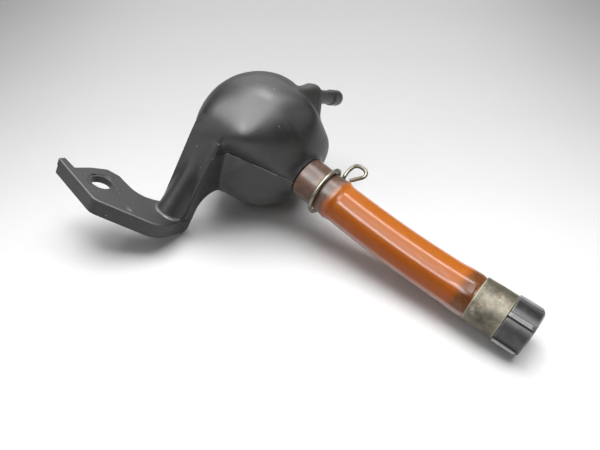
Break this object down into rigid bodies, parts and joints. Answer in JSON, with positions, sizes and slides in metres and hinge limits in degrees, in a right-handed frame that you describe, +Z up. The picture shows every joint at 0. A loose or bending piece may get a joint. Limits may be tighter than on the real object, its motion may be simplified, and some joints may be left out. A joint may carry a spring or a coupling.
{
  "type": "breather drain tank",
  "caption": "Moulded breather drain tank with its own angled stay, a barbed breather nipple, and a clear drain tube held by a wire clip and closed by a ribbed plug in a metal band.",
  "frame": {"origin": "centre of the stay's mounting hole, on its bolt seat", "axes": "the part as it lies on a table on its flange corner, its tank and its plug: +Z up, +X from the stay along the length towards the plug"},
  "size_m": [0.1548, 0.0998, 0.0486],
  "materials": {
    "tank_plastic": "moulded black, satin, lightly scuffed",
    "tube_vinyl": "clear vinyl aged to amber, glossy",
    "clip_wire": "dull olive-passivated spring wire",
    "band_sheet": "yellow-passivated sheet, tarnished",
    "plug_plastic": "moulded black, worn on the ribs"
  },
  "bodies": {
    "tank": {"stay_tab": "tank_plastic", "tank_upper_half": "tank_plastic", "breather_nipple": "tank_plastic", "tank_lower_half": "tank_plastic", "drain_tube": "tube_vinyl", "plug_band": "band_sheet"},
    "clip": {"tube_clip": "clip_wire"},
    "plug": {"drain_plug": "plug_plastic"}
  },
  "joints": [
    {"name": "drain_plug_pull", "type": "slide", "parent": "tank", "child": "plug", "axis": [0.7526, -0.6542, -0.075], "range_m": [0, 0.016]},
    {"name": "tube_clip_slide", "type": "slide", "parent": "tank", "child": "clip", "axis": [0.7339, -0.6379, -0.2334], "range_m": [0, 0.016]}
  ]
}
